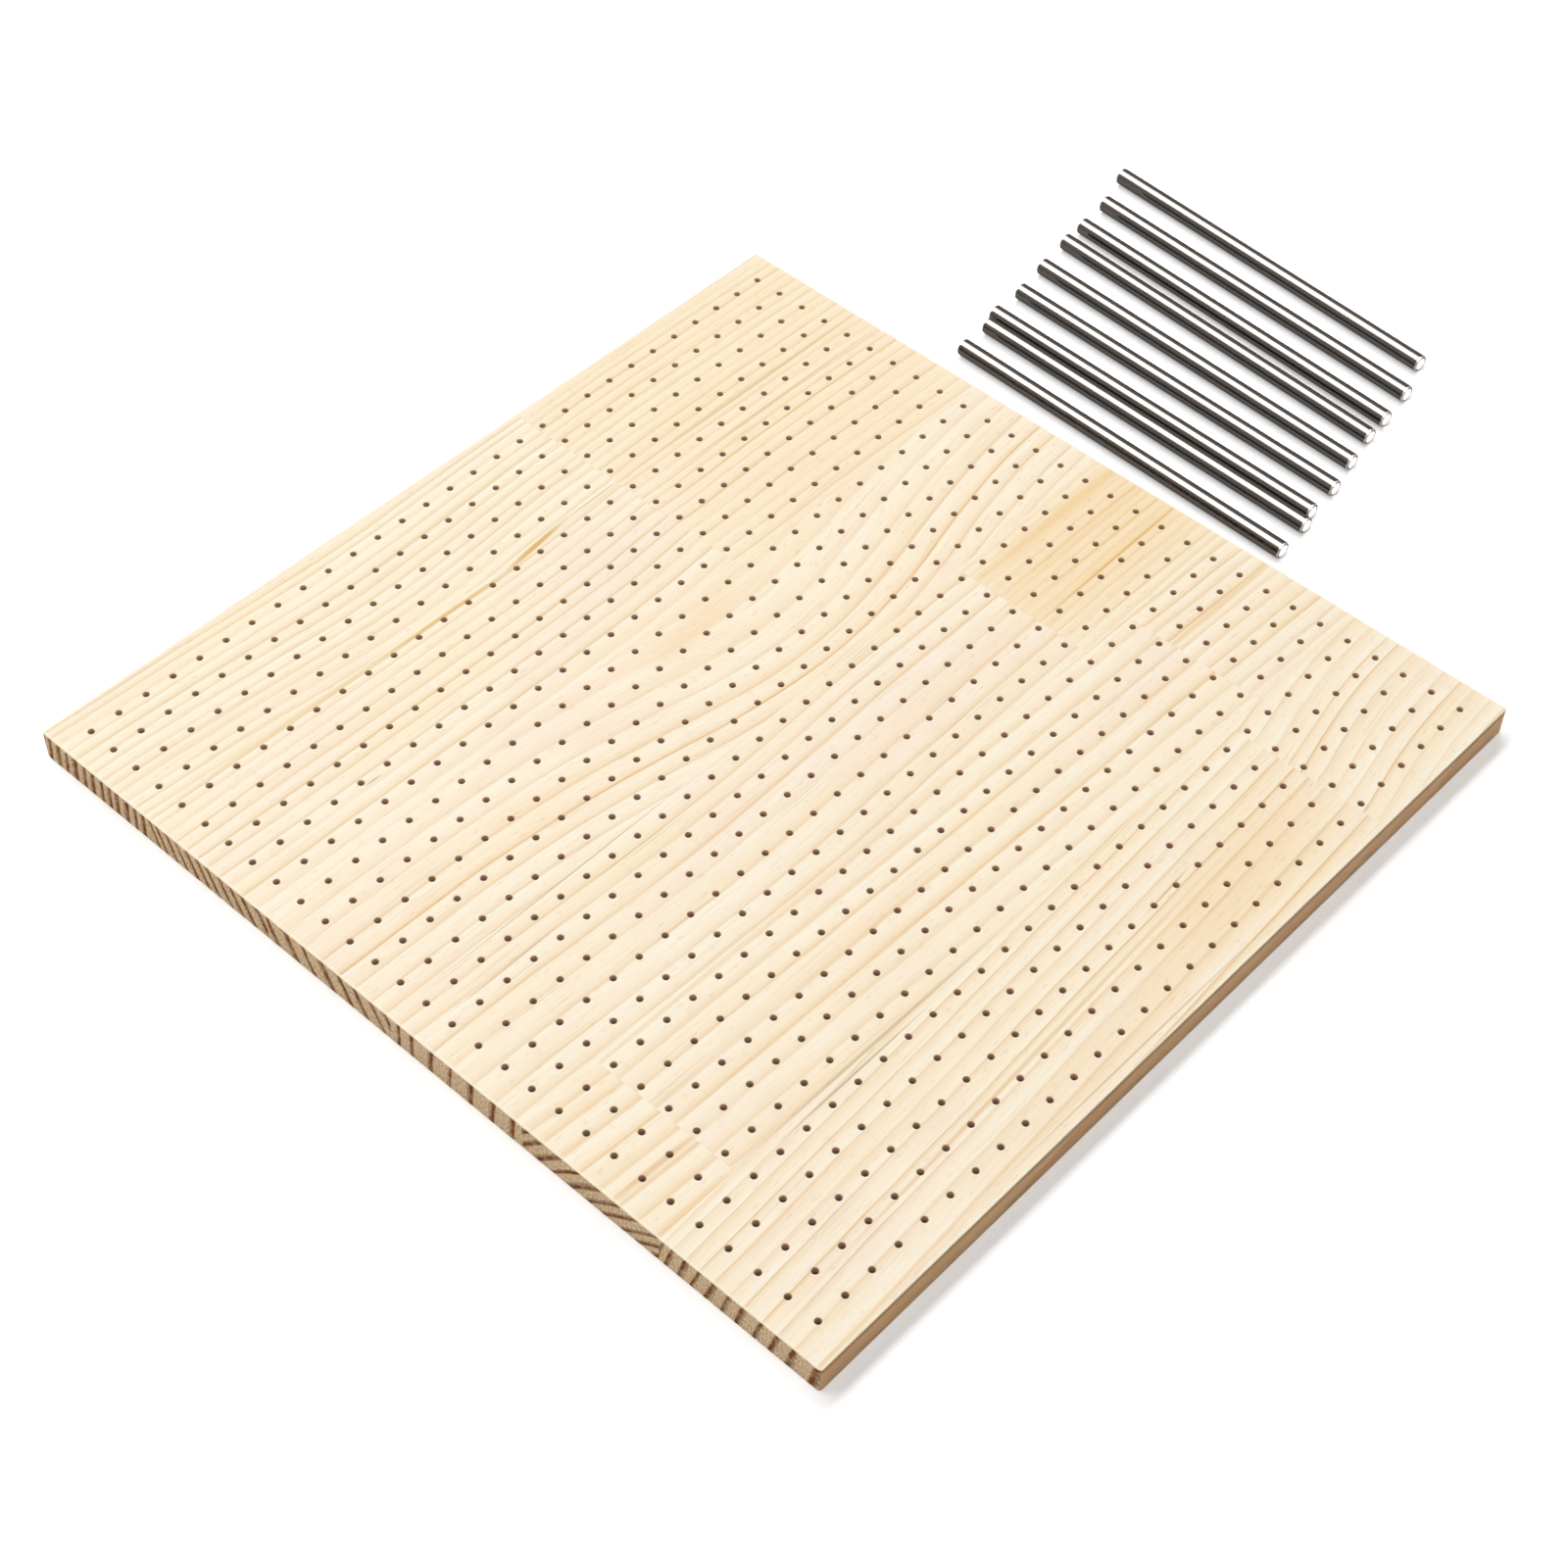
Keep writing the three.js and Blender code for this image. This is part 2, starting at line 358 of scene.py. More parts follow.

    # Painted highlight: its rim is painted a little paler, as where the top edge catches the light
    outwards = addNode(tree, "VectorMath", {
        0: place, 1: (gridHalf, gridHalf, 0)}, operation="SUBTRACT")
    outwards = addNode(tree, "VectorMath", {0: outwards}, operation="ABSOLUTE")
    outwards = addNode(tree, "SeparateXYZ", {0: outwards})
    reach = addNode(tree, "Math", {
        0: outwards.outputs["X"], 1: outwards.outputs["Y"]}, operation="MAXIMUM")
    half = panel["side"] / 2
    # painted highlight along the rim of the top face
    rim = addNode(tree, "MapRange", {
        "Value": reach, "From Min": half - look["paintedRimHighlightWidth"], "From Max": half - look["paintedRimHighlightFull"],
        "To Max": look["paintedRimHighlightMix"]})
    top = addNode(tree, "Mix", {0: rim, 6: face, 7: look["paintedRimHighlight"]}, data_type="RGBA")

    # The long sawn sides are browner, with the rings faint, fibres of a darker brown, and painted
    # shade under the top edge
    side = addNode(tree, "Mix", {0: look["sideLines"], 6: bare, 7: face}, data_type="RGBA")
    side = addNode(tree, "Mix", {
        0: 1.0, 6: side, 7: look["sideTint"]}, data_type="RGBA", blend_type="MULTIPLY")
    shadeStart, shadeFull = look["paintedShadeUnderEdge"]
    # painted shade: the sides are darker just under the top edge
    under = addNode(tree, "MapRange", {
        "Value": axes.outputs["Z"], "From Min": -shadeStart, "From Max": -shadeFull,
        "To Max": look["paintedShadeUnderEdgeMix"]})
    # the fibres take the same brown
    under = addNode(tree, "Math", {0: under, 1: streaks["fibre"]}, operation="ADD")
    side = addNode(tree, "Mix", {0: under, 6: side, 7: look["sideFibreAndPaintedShade"]}, data_type="RGBA")

    # End grain shows the same rings, broader, ragged and much darker, and soaks up light
    poreWide, poreHigh = look["pore"]
    grainSize = addNode(tree, "VectorMath", {
        0: place, 1: (1 / poreWide, 1 / poreWide, 1 / poreHigh)}, operation="MULTIPLY")
    speckle = addNode(tree, "TexNoise", {"Vector": grainSize, "Scale": 1, "Detail": 3})
    offLine = addNode(tree, "MapRange", {
        "Value": speckle, "To Min": -look["ragged"] / ringWidth,
        "To Max": look["ragged"] / ringWidth})
    raggedPhase = addNode(tree, "Math", {0: phase, 1: offLine}, operation="ADD")
    endRing = addNode(tree, "ValToRGB", {0: raggedPhase})
    setRamp(endRing, stopsAcross(endGrainLine, look["endWidth"] / ringWidth))
    endDepth = addNode(tree, "MapRange", {
        "Value": depth, "To Min": look["endLeast"], "To Max": 1.0})
    blotches = addNode(tree, "TexNoise", {
        "Vector": place, "Scale": 1 / look["blotch"], "Detail": 2})
    patchLeast, patchMost = look["endPatchy"]
    patchy = addNode(tree, "MapRange", {
        "Value": blotches, "From Min": 0.35, "From Max": 0.65,
        "To Min": patchLeast, "To Max": patchMost})
    endDepth = addNode(tree, "Math", {0: endDepth, 1: patchy}, operation="MULTIPLY")
    endMix = addNode(tree, "Math", {0: endRing, 1: endDepth}, operation="MULTIPLY",
                     use_clamp=True)
    rust = addNode(tree, "MapRange", {
        "Value": blotches.outputs["Color"], "From Min": 0.4, "From Max": 0.6})
    endLine = addNode(tree, "Mix", {
        0: rust, 6: look["endLine"], 7: look["endRust"]}, data_type="RGBA")
    pits = addNode(tree, "MapRange", {
        "Value": speckle, "From Min": 0.4, "From Max": 0.62, "To Max": look["pitMix"]})
    end = addNode(tree, "Mix", {0: pits, 6: look["endPale"], 7: look["pit"]}, data_type="RGBA")
    end = addNode(tree, "Mix", {0: endMix, 6: end, 7: endLine}, data_type="RGBA")

    # The way a face points tells which of the three it is
    facing = addNode(tree, "SeparateXYZ", {0: coordinates.outputs["Normal"]})
    endwards = addNode(tree, "Math", {0: facing.outputs["Y"]}, operation="ABSOLUTE")
    upwards = addNode(tree, "Math", {0: facing.outputs["Z"]}, operation="ABSOLUTE")
    endFace = addNode(tree, "MapRange", {"Value": endwards, "From Min": 0.6, "From Max": 0.8})
    edgeFace = addNode(tree, "MapRange", {"Value": upwards, "From Min": 0.6, "From Max": 0.4})
    edge = addNode(tree, "Mix", {0: endFace, 6: side, 7: end}, data_type="RGBA")
    colour = addNode(tree, "Mix", {0: edgeFace, 6: top, 7: edge}, data_type="RGBA")
    sheen = addNode(tree, "MapRange", {
        "Value": endFace, "To Min": look["sheen"], "To Max": look["endSheen"]})

    height = addNode(tree, "Math", {
        0: streaks["fibre"], 1: look["fibreRelief"], 2: darkness}, operation="MULTIPLY_ADD")
    relief = addNode(tree, "Bump", {
        "Height": height, "Distance": look["relief"] * mm, "Strength": 1})
    shader = addNode(tree, "BsdfPrincipled", {
        "Base Color": colour, "Roughness": look["roughness"], "Specular IOR Level": sheen,
        "Normal": relief})
    addNode(tree, "OutputMaterial", {"Surface": shader})
    return material


# Inside of a drilled hole: pine, brown and matt, its brown deepening down the walls to the floor as
# painted shade

drilled = {
    "wallBrownsWithPaintedShade": [(0, "#3e2204"), (0.5, "#744a16"), (0.85, "#a87836"), (1, "#d2a664")],
    "reach": 3.0,            # how far down the walls the painted shade goes from the rim's light brown to its darkest
    "stain": (3.85, 0.71),   # width and height
    "stainMix": 0.5,
    "relief": 0.1,
    "roughness": 0.8,
}


def drilledMaterial():
    material, tree = newMaterial("drilledPine")
    coordinates = addNode(tree, "TexCoord")
    axes = addNode(tree, "SeparateXYZ", {0: coordinates.outputs["Object"]})
    wide, high = (1 / (size * mm) for size in drilled["stain"])
    fine = addNode(tree, "VectorMath", {
        0: coordinates.outputs["Object"], 1: (wide, wide, high)}, operation="MULTIPLY")
    mottle = addNode(tree, "TexNoise", {"Vector": fine, "Scale": 1, "Detail": 2})
    top = panel["thickness"]
    # painted shade: darker down the hole, darkest at its floor
    height = addNode(tree, "MapRange", {
        "Value": axes.outputs["Z"], "From Min": (top - drilled["reach"]) * mm,
        "From Max": top * mm})
    height = addNode(tree, "Math", {
        0: mottle, 1: drilled["stainMix"], 2: height}, operation="MULTIPLY_ADD")
    height = addNode(tree, "Math", {0: height, 1: drilled["stainMix"] / 2}, operation="SUBTRACT")
    shade = addNode(tree, "ValToRGB", {0: height})
    setRamp(shade, drilled["wallBrownsWithPaintedShade"])
    relief = addNode(tree, "Bump", {"Height": mottle, "Distance": drilled["relief"] * mm})
    shader = addNode(tree, "BsdfPrincipled", {
        "Base Color": shade, "Roughness": drilled["roughness"], "Normal": relief})
    addNode(tree, "OutputMaterial", {"Surface": shader})
    return material


# The staves that the panel is glued up from

# A vein of resin runs along the first glue line, and shows in the wood on both sides of it
resinVein = [
    (37.1, 141, 6.4, 1.3, 19, "#d6a640", 0.9), (38.8, 101, -0.6, 0.95, 38, "#deb55e", 0.85),
    (38.1, 45, -0.6, 1.5, 58, "#eac98a", 0.6), (35.2, 166, 1.5, 0.5, 18, "#d9b878", 0.7),
]

# Each stave's lengths of wood from front to back, and the middles of the joints between them with
# the side of the fingers that its line on the top face is at. Span, ringWidth and lean are given
# at the stave's left and right. A positive lean takes the rings to the right on the underside, and
# a positive slope takes the lines to the right as they run back.
staves = [
    {
        "span": (-10, 37), "joints": [(35, 1)],
        "shared": {"ringWidth": (3.7, 3.7), "lean": (-2.0, -0.5), "barkSide": "right",
                   "line": "#e0c48e", "lineWidth": 0.95, "lineMix": 0.72},
        "lengths": {
            "left_edge_stave_front": {
                "firstLine": -5.6, "seed": 3, "slope": 0.005,
                "bulges": [(45, 92, 58, 57, 6)], "patches": [], "marks": resinVein,
            },
            "left_edge_stave_back": {
                "firstLine": -5.2, "seed": 5, "slope": 0.01,
                "bulges": [(45, 150, 58, 40, 3)],
                "patches": [(12, 245, 0, 70, 120, "#fbe3be", 0.5)],
                "marks": [(35, 240, 0, 0.6, 70, "#d9bb85", 0.8)],
            },
        },
    },
    {
        "span": (37, 87), "joints": [(35, 1)],
        "shared": {"ringWidth": (3.9, 6.2), "lean": (3, 5), "barkSide": "right",
                   "line": "#e2be82", "lineWidth": 0.95, "lineMix": 0.85},
        "lengths": {
            "second_stave_front": {
                "firstLine": 41.6, "seed": 11, "slope": 0.012,
                "bulges": [(62, 195, 60, 42, -4)],
                "patches": [(60, 150, 0, 26, 36, "#fae5d3", 0.45)],
                "marks": [*resinVein, (71.8, 43, 0, 0.4, 4, "#a98a60", 0.7)],
            },
            "second_stave_back": {
                "firstLine": 43.8, "seed": 14, "slope": 0.02,
                "bulges": [(62, 185, 60, 30, 2)],
                "patches": [(60, 245, 0, 70, 120, "#fbe3c0", 0.5)],
                "marks": [(44.6, 240, 0, 0.5, 70, "#d8b883", 0.7)],
            },
        },
    },
    {
        "span": (87, 136.5), "joints": [],
        "shared": {"ringWidth": (7.6, 5.8), "lean": (4, 5), "barkSide": "right"},
        "lengths": {
            "third_stave": {
                "firstLine": 88.2, "seed": 21, "slope": 0, "line": "#dfae62", "lineWidth": 1.1,
                "lineMix": 1.0, "faint": (90, 119, 0.35), "endWidth": 2.2,
                "bulges": [(126, 168, 46, 75, 17), (112, 300, 50, 70, -4)],
                "patches": [(96, 150, 8, 7, 26, "#f9dfba", 0.7)],
                "marks": [(136.4, 55, 0, 0.45, 60, "#a3967a", 0.6)],
            },
        },
    },
    {
        "span": (136.5, 186.5), "joints": [(85, -1)],
        "shared": {"ringWidth": (7, 8.4), "barkSide": "right", "lean": (-1, -1)},
        "lengths": {
            "fourth_stave_front": {
                "firstLine": 145.9, "seed": 31, "slope": 0, "line": "#e4bc80",
                "lineWidth": 1.2, "lineMix": 0.8, "hairMix": 0.3,
                "bulges": [(160, 95, 80, 70, 3.2)],
                "patches": [(162, 170, 0, 26, 70, "#fae5d4", 0.4)],
                "marks": [(146.8, 24, 0, 0.6, 26, "#c9a473", 0.6)],
            },
            "fourth_stave_back": {
                "slot": "tan_pine",
                "firstLine": 138.4, "seed": 37, "slope": -0.01, "line": "#e6c080",
                "ringWidth": (2.7, 3.6), "lineWidth": 0.8, "lineLeast": 0.2, "lineMix": 0.7,
                "blushMix": 0, "bandMix": 0.3, "bulges": [],
                "patches": [(160, 268, 0, 34, 120, "#f9e1ba", 0.85),
                            (143.6, 268, 0.5, 3.4, 70, "#f2ce94", 0.65),
                            (153.8, 268, 0.5, 3.2, 64, "#f3d4a2", 0.5),
                            (166.5, 262, 0.5, 3, 54, "#f4d6a4", 0.5)],
                "marks": [(161.4, 268, 0, 0.9, 60, "#eac684", 0.6),
                          (167.9, 262, 1, 0.8, 50, "#e4b468", 0.8),
                          (181.5, 268, -1, 0.6, 60, "#e6c184", 0.5)],
            },
        },
    },
    {
        "span": (186.5, 235.5), "joints": [(-125, 1), (105, -1)],
        "shared": {"ringWidth": (6.6, 6.6), "barkSide": "right", "lean": (-1, -2), "patches": []},
        "lengths": {
            "fifth_stave_front": {
                "firstLine": 195.4, "seed": 41, "slope": 0.06, "lean": (-9, -14),
                "endLine": "#642600", "endWidth": 2.4, "line": "#e7bd7a",
                "lineWidth": 1.5, "lineLeast": 0.55, "lineMix": 0.8, "bulges": [],
                "marks": [(219.8, 4, -3, 1.3, 24, "#deae68", 0.6),
                          (235, 2, 0, 2, 24, "#f0ca90", 0.6)],
            },
            "fifth_stave_middle": {
                "firstLine": 187.2, "seed": 46, "slope": 0.022, "line": "#e8c48c",
                "lineWidth": 1.5, "bulges": [],
                "marks": [(234.9, 70, 0, 0.8, 70, "#bda783", 0.55)],
            },
            "fifth_stave_back": {
                "firstLine": 189.5, "seed": 49, "slope": 0.03, "ringWidth": (5, 5),
                "line": "#e2ba7a", "bulges": [],
                "marks": [(203.4, 262, -0.5, 1.5, 60, "#e8c284", 0.55),
                          (191.6, 241.8, -40, 0.45, 1.1, "#7d5a30", 0.9)],
            },
        },
    },
    {
        "span": (235.5, 290), "joints": [(85, 1)],
        "shared": {"ringWidth": (4.3, 7.5), "lean": (-3, -2.5), "barkSide": "left",
                   "line": "#e2b878", "lineWidth": 0.95},
        "lengths": {
            "right_edge_stave_front": {
                "firstLine": 240.2, "seed": 52, "slope": -0.05, "lineLeast": 0.4, "bulges": [],
                "patches": [(270, 184, 5, 16, 64, "#f8dcb4", 0.65),
                            (281, 104, 2, 9, 90, "#f9e0bc", 0.45)],
                "marks": [(237.6, 62, 0.5, 0.45, 36, "#a0957c", 0.7),
                          (268, 95, 3, 1.0, 120, "#e6ba7c", 0.6),
                          (259.4, 167, 4, 0.6, 14, "#d9a866", 0.7),
                          (286.8, 120, 0, 0.5, 70, "#d8b184", 0.7)],
            },
            "right_edge_stave_back": {
                "firstLine": 258, "seed": 58, "slope": -0.02, "ringWidth": (5.4, 5),
                "lineWidth": 0.75, "lineMix": 0.85, "bulges": [(270, 215, 80, 38, 8.5)],
                "patches": [], "marks": [],
            },
        },
    },
]


def drilledGrid():
    # one hole with its square of face, repeated along a row, and the row repeated
    bm = bmesh.new()
    top, radius, rim = panel["thickness"], pegHoles["diameter"] / 2, pegHoles["rim"]
    bmesh.ops.create_circle(bm, segments=pegHoles["sides"], radius=radius + rim)
    bmesh.ops.translate(bm, vec=(0, 0, top), verts=bm.verts)
    edges = bm.edges[:]
    square = bmesh.ops.extrude_edge_only(bm, edges=edges)["geom"]
    for vert in only(bmesh.types.BMVert, square):
        vert.co.xy *= pegHoles["pitch"] / 2 / max(abs(vert.co.x), abs(vert.co.y))
    # the eased rim, then the drilled wall, each with how far it drops and narrows
    narrowing, wallDepth = radius / (radius + rim), top - pegHoles["floor"] - rim
    for drop, scale, isDrilled in ((rim, narrowing, False), (wallDepth, 1, True)):
        wall = bmesh.ops.extrude_edge_only(bm, edges=edges)["geom"]
        verts = only(bmesh.types.BMVert, wall)
        bmesh.ops.translate(bm, vec=(0, 0, -drop), verts=verts)
        bmesh.ops.scale(bm, vec=(scale, scale, 1), verts=verts)
        edges = only(bmesh.types.BMEdge, wall)
        for face in only(bmesh.types.BMFace, wall):
            face.smooth, face.material_index = isDrilled, int(isDrilled)
    for face in bmesh.ops.edgeloop_fill(bm, edges=edges)["faces"]:
        face.material_index = 1
    bmesh.ops.translate(bm, vec=(-gridHalf, -gridHalf, 0), verts=bm.verts)
    for step in ((pegHoles["pitch"], 0, 0), (0, pegHoles["pitch"], 0)):
        pattern = bm.verts[:] + bm.edges[:] + bm.faces[:]
        for number in range(1, pegHoles["count"]):
            copy = bmesh.ops.duplicate(bm, geom=pattern)["geom"]
            bmesh.ops.translate(bm, vec=Vector(step) * number,
                                verts=only(bmesh.types.BMVert, copy))
    return bm


def wholePanel():
    # the drilled grid let into the top of a slab with rounded corners and eased edges
    bm = drilledGrid()
    side, thickness = panel["side"], panel["thickness"]
    slab = bmesh.ops.create_cube(bm, size=1)["verts"]
    bmesh.ops.scale(bm, vec=(side, side, thickness), verts=slab)
    bmesh.ops.translate(bm, vec=(0, 0, thickness / 2), verts=slab)
    upright = {edge for vert in slab for edge in vert.link_edges
               if abs(edge.verts[0].co.z - edge.verts[1].co.z) > thickness / 2}
    bmesh.ops.bevel(bm, geom=list(upright), offset=panel["cornerRadius"], profile=0.5,
                    segments=panel["cornerSteps"], affect="EDGES", material=-1)
    quarter = side ** 2 / 4  # of the panel: only its top and underside are larger
    flats = [face for face in bm.faces if face.calc_area() > quarter]
    rims = {edge for face in flats for edge in face.edges}
    bmesh.ops.bevel(bm, geom=list(rims), offset=panel["arris"], profile=0.5,
                    segments=panel["arrisSteps"], affect="EDGES", material=-1)
    tops = [face for face in bm.faces if face.calc_area() > quarter
            and face.calc_center_median().z > thickness / 2]
    bmesh.ops.delete(bm, geom=tops, context="FACES_ONLY")
    bmesh.ops.remove_doubles(bm, verts=bm.verts, dist=panel["weld"])
    gap = [edge for edge in bm.edges if edge.is_boundary]
    bmesh.ops.triangle_fill(bm, edges=gap, use_beauty=True)
    bmesh.ops.recalc_face_normals(bm, faces=bm.faces)
    return bm


def keepSide(bm, glueLine, side):
    # leaves what lies to one side of a glue line, with its sawn face closed
    cut = bmesh.ops.bisect_plane(
        bm, geom=bm.verts[:] + bm.edges[:] + bm.faces[:], dist=panel["weld"],
        plane_co=(glueLine, 0, 0), plane_no=(side, 0, 0), clear_inner=True)["geom_cut"]
    bmesh.ops.edgeloop_fill(bm, edges=only(bmesh.types.BMEdge, cut))
    bmesh.ops.recalc_face_normals(bm, faces=bm.faces)


def fingeredEnd(joint, end):
    # the side view of one end of a length, from above the top face to below the underside:
    # fingered at a joint, and straight at the front or back of the panel
    top, past = panel["thickness"], fingers["past"]
    if joint is None:
        y = end * (panel["side"] / 2 + past)
        return [(y, top + past), (y, -past)]
    middle, topSide = joint
    points = []
    for step in range(fingers["steps"] + 1):
        y = middle + (topSide if step % 2 == 0 else -topSide) * fingers["length"] / 2
        level = top * (1 - step / fingers["steps"])
        above = past if step == 0 else fingers["tip"] / 2
        below = past if step == fingers["steps"] else fingers["tip"] / 2
        points += [(y, level + above), (y, level - below)]
    return points


def sectionTool(front, back):
    # the space of one length of a stave: its fingered side view, drawn out across the board
    bm = bmesh.new()
    outline = fingeredEnd(front, -1) + fingeredEnd(back, 1)[::-1]
    left = -panel["side"] / 2 - fingers["past"]
    face = bm.faces.new([bm.verts.new((left, y, z)) for y, z in outline])
    swept = bmesh.ops.extrude_face_region(bm, geom=[face])["geom"]
    bmesh.ops.translate(bm, vec=(-2 * left, 0, 0), verts=only(bmesh.types.BMVert, swept))
    bmesh.ops.recalc_face_normals(bm, faces=bm.faces)
    return bm


def commonPart(wood, tool):
    # the part of one bmesh that lies inside another
    objects = []
    for name, bm in (("wood", wood), ("tool", tool)):
        mesh = bpy.data.meshes.new(name)
        bm.to_mesh(mesh)
        objects.append(bpy.data.objects.new(name, mesh))
        bpy.context.scene.collection.objects.link(objects[-1])
    tool.free()
    cut = objects[0].modifiers.new("cut", "BOOLEAN")
    cut.object, cut.operation, cut.solver = objects[1], "INTERSECT", "EXACT"
    graph = bpy.context.evaluated_depsgraph_get()
    result = bmesh.new()
    result.from_mesh(objects[0].evaluated_get(graph).to_mesh())
    for made in objects:
        bpy.data.meshes.remove(made.data)  # the object goes with it
    return result


def makeBoard():
    holeWall = drilledMaterial()
    whole = wholePanel()
    for stave in staves:
        left, right = (glueLine - gridHalf for glueLine in stave["span"])
        strip = whole.copy()
        if left > -panel["side"] / 2:
            keepSide(strip, left, 1)
        if right < panel["side"] / 2:
            keepSide(strip, right, -1)
        ends = [None, *stave["joints"], None]
        for (name, wood), front, back in zip(stave["lengths"].items(), ends, ends[1:]):
            length = commonPart(strip, sectionTool(front, back)) if stave["joints"] else strip.copy()
            look = {**pine, "span": stave["span"], **stave["shared"], **wood}
            material = pineMaterial(name.replace("_", " ") + " pine", look)
            finishPiece(name + "_wood", length, [material, holeWall], "board", name)
        strip.free()
        print("stave made:", ", ".join(stave["lengths"]))
    whole.free()


makeBoard()


# Pins. Stainless steel rod, drawn bright and cut to length: a smooth mirror in which the lamp
# overhead shows as one white line. Its drawn sides are painted dark, as a painted reflection of dark
# surroundings. Its chamfers are turned, and its ends ground, so that both are duller and spread the
# light over their whole face; the ground ends are painted nearly white, as a painted reflection of
# bright surroundings.

pins = {
    "length": 134, "diameter": 5.8, "sides": 48,
    "chamfer": 0.5, "chamferSteps": 3,
    "endRim": 0.35,           # left round the ground end
    "turns": (-1.9, -1.9, -1.9, -2.3, -3.0, -3.8, -3.9, -4.0, -4.3),  # degrees
    "drawLine": (24, 0.4),    # length and width of the marks of drawing, coarse enough to show
    "dulling": (0.8, 1.3),    # what they make of a finish's roughness
    "edgeTint": "#bcbcbc",
    # painted reflection: the drawn sides' colour is painted dark, for the dark surroundings they
    # would mirror
    "drawn": {"colour": "#524e4a", "roughness": 0.16, "relief": 0.0005},
    "turned": {"colour": "#a29b93", "roughness": 0.25, "relief": 0.001},
    # painted reflection: the ground ends' colour is painted nearly white, paler than ground steel,
    # for bright surroundings
    "ground": {"colour": "#f8f6f2", "roughness": 0.5, "relief": 0.002},
}


def steelMaterial(name, finish):
    material, tree = newMaterial(name)
    coordinates = addNode(tree, "TexCoord")
    long, wide = (1 / (size * mm) for size in pins["drawLine"])
    stretched = addNode(tree, "VectorMath", {
        0: coordinates.outputs["Object"], 1: (long, wide, wide)}, operation="MULTIPLY")
    marks = addNode(tree, "TexNoise", {"Vector": stretched, "Scale": 1, "Detail": 2})
    glossiest, dullest = (finish["roughness"] * share for share in pins["dulling"])
    gloss = addNode(tree, "MapRange", {
        "Value": marks, "From Min": 0.3, "From Max": 0.7, "To Min": glossiest, "To Max": dullest})
    bump = addNode(tree, "Bump", {"Height": marks, "Distance": finish["relief"] * mm})
    shader = addNode(tree, "BsdfPrincipled", {
        "Base Color": finish["colour"], "Metallic": 1, "Specular Tint": pins["edgeTint"],
        "Roughness": gloss, "Normal": bump})
    addNode(tree, "OutputMaterial", {"Surface": shader})
    return material


def runsAlong(edge):
    return abs(edge.verts[0].co.x - edge.verts[1].co.x) > pins["length"] / 2


def pinBody():
    # one pin along x, its middle at the origin. Faces 0 are drawn, 1 turned and 2 ground.
    bm = bmesh.new()
    radius = pins["diameter"] / 2
    bmesh.ops.create_cone(bm, cap_ends=True, segments=pins["sides"], radius1=radius,
                          radius2=radius, depth=pins["length"],
                          matrix=Matrix.Rotation(math.pi / 2, 4, "Y"))
    bmesh.ops.bevel(bm, geom=[edge for edge in bm.edges if not runsAlong(edge)],
                    offset=pins["chamfer"], profile=0.5, segments=pins["chamferSteps"],
                    affect="EDGES", material=-1)
    caps = [face for face in bm.faces if len(face.verts) > 4]
    bmesh.ops.inset_individual(bm, faces=caps, thickness=pins["endRim"])
    bm.normal_update()
    for face in bm.faces:
        onEnd = abs(face.normal.x) > 0.999
        face.smooth = not onEnd
        if onEnd:
            face.material_index = 2 if len(face.verts) > 4 else 0
        elif abs(face.calc_center_median().x) > pins["length"] / 2 - pins["chamfer"]:
            face.material_index = 1
    for edge in bm.edges:  # keeps the long sides' shading straight right up to the chamfers
        edge.smooth = runsAlong(edge)
    return bm


def makePins():
    finishes = [
        steelMaterial("drawnStainlessSteelPaintedDark", pins["drawn"]),
        steelMaterial("turnedStainlessChamfer", pins["turned"]),
        steelMaterial("groundStainlessEndPaintedPale", pins["ground"]),
    ]
    for number, turn in enumerate(pins["turns"], 1):
        node, body = f"steel_pin_{number}", f"pin_{number}"
        low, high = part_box(node)
        middle = (low + high) / 2 / mm
        placed = Matrix.Translation((middle.x, middle.y, pins["diameter"] / 2))
        turned = Matrix.Rotation(math.radians(turn), 4, "Z")
        bm = pinBody()
        bmesh.ops.transform(bm, matrix=placed @ turned, verts=bm.verts)
        finishPiece(f"{node}_rod", bm, finishes, body, node)
    print("pins made:", len(pins["turns"]))


makePins()


# Floor, lamps and surroundings

studio = {
    "floorSide": 8,           # metres, like every length here
    "floorDrop": 0.0001,
    "floorColour": "#e8e8e8",
    "floorLift": 0.42,        # added glow, which takes the lit floor to white
    "floorFade": (0.7, 1.9),  # where it begins to turn plain white, and has done so
    "air": 0.205,             # strength of the light from all round
    # Each lamp's place, size and power, and whether it lights the wood or glints in the steel
    "strips": [((-3.12, 1.2, 6), (2.2, 9.8), 564, True),
               ((0, -0.1, 5.9), (34, 6.4), 10300, False)],
    "stripTurn": 3,           # degrees
}


def seenDirectly(tree):
    # 1 for rays that look at the background, straight or by way of metal or glass
    rays = addNode(tree, "LightPath")
    seen = addNode(tree, "Math", {
        0: rays.outputs["Is Camera Ray"], 1: rays.outputs["Is Glossy Ray"]}, operation="MAXIMUM")
    return addNode(tree, "Math", {
        0: seen, 1: rays.outputs["Is Transmission Ray"]}, operation="MAXIMUM")


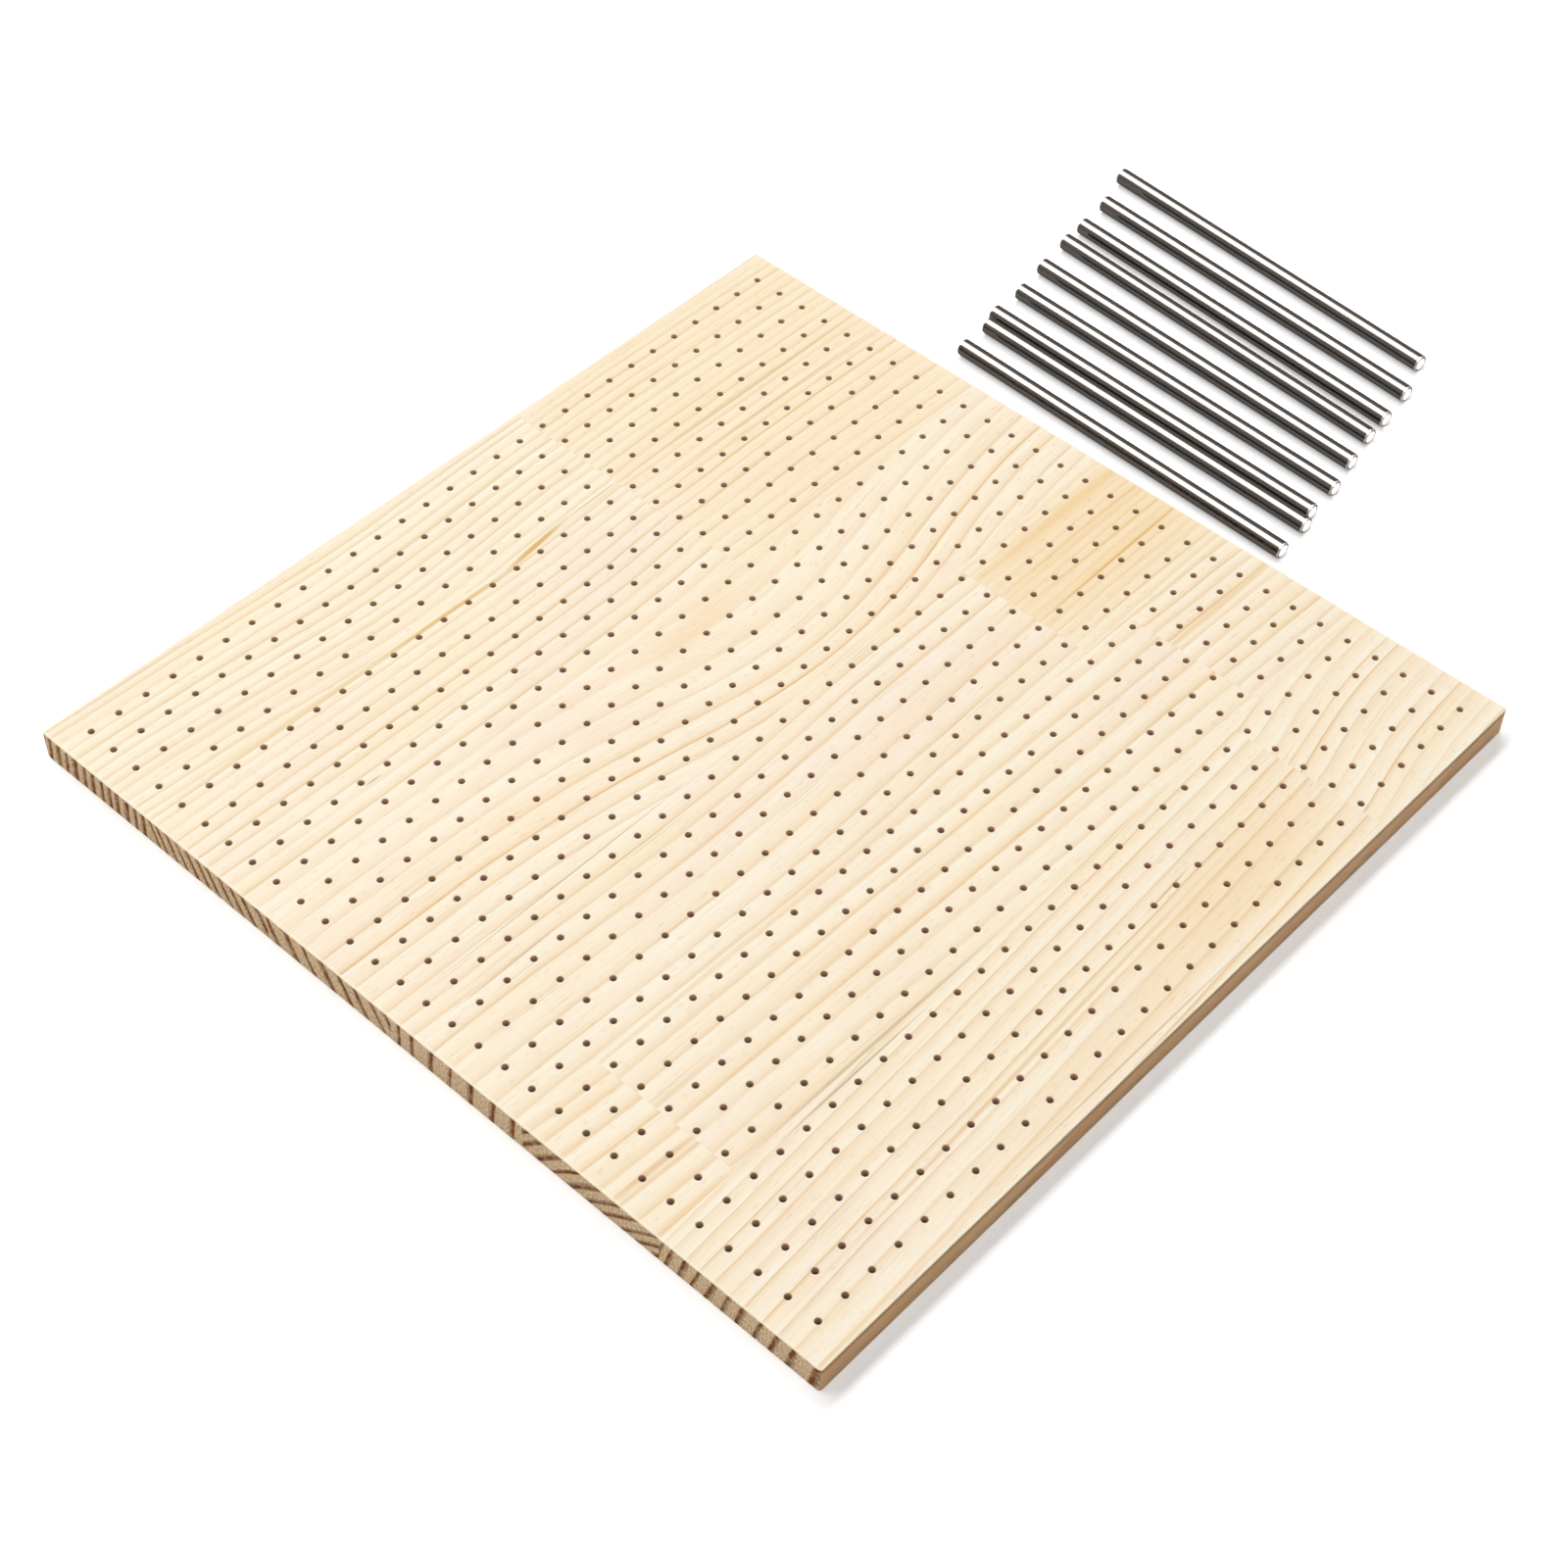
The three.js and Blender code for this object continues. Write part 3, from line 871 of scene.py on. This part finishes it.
def whiteTable():
    # Matt white table: the lift takes lit parts to white, and the shadows stay. Far from the
    # object it turns plain white, so that no edge of it shows.
    material, tree = newMaterial("whiteTable")
    seen = seenDirectly(tree)
    matt = addNode(tree, "BsdfDiffuse", {"Color": studio["floorColour"]})
    glow = addNode(tree, "Math", {0: seen, 1: studio["floorLift"]}, operation="MULTIPLY")
    lift = addNode(tree, "Emission", {"Strength": glow})
    near = addNode(tree, "AddShader", {0: matt, 1: lift})
    coordinates = addNode(tree, "TexCoord")
    distance = addNode(tree, "VectorMath", {0: coordinates.outputs["Object"]}, operation="LENGTH")
    fadeStart, fadeEnd = studio["floorFade"]
    fade = addNode(tree, "MapRange", {
        "Value": distance, "From Min": fadeStart, "From Max": fadeEnd},
        interpolation_type="SMOOTHSTEP")
    fade = addNode(tree, "Math", {0: fade, 1: seen}, operation="MULTIPLY")
    white = addNode(tree, "Emission", {"Strength": 1.0})
    both = addNode(tree, "MixShader", {0: fade, 1: near, 2: white})
    addNode(tree, "OutputMaterial", {"Surface": both})
    return material


def makeFloor():
    bm = bmesh.new()
    bmesh.ops.create_grid(bm, x_segments=1, y_segments=1, size=studio["floorSide"] / 2)
    bmesh.ops.translate(bm, vec=(0, 0, -studio["floorDrop"]), verts=bm.verts)
    mesh = bpy.data.meshes.new("floor")
    bm.to_mesh(mesh)
    bm.free()
    mesh.materials.append(whiteTable())
    floor = bpy.data.objects.new("floor", mesh)
    bpy.context.scene.collection.objects.link(floor)


def makeLight():
    for number, (spot, size, power, lightsWood) in enumerate(studio["strips"], 1):
        strip = bpy.data.lights.new(f"overheadStrip{number}", "AREA")
        strip.shape = "RECTANGLE"
        strip.size, strip.size_y = size
        strip.energy = power
        lamp = bpy.data.objects.new(strip.name, strip)
        lamp.location = spot
        lamp.rotation_euler = (0, 0, math.radians(studio["stripTurn"]))
        lamp.visible_diffuse, lamp.visible_glossy = lightsWood, not lightsWood
        bpy.context.scene.collection.objects.link(lamp)

    # The air lights the object softly, and is plain white to look at
    world = bpy.data.worlds.new("studioAir")
    world.use_nodes = True
    world.node_tree.nodes.clear()
    tree = world.node_tree
    strength = addNode(tree, "MapRange", {"Value": seenDirectly(tree), "To Min": studio["air"]})
    sky = addNode(tree, "Background", {"Color": (1, 1, 1, 1), "Strength": strength})
    addNode(tree, "OutputWorld", {"Surface": sky})
    bpy.context.scene.world = world
    bpy.context.scene.view_settings.view_transform = "Standard"


makeFloor()
makeLight()
print("studio set")
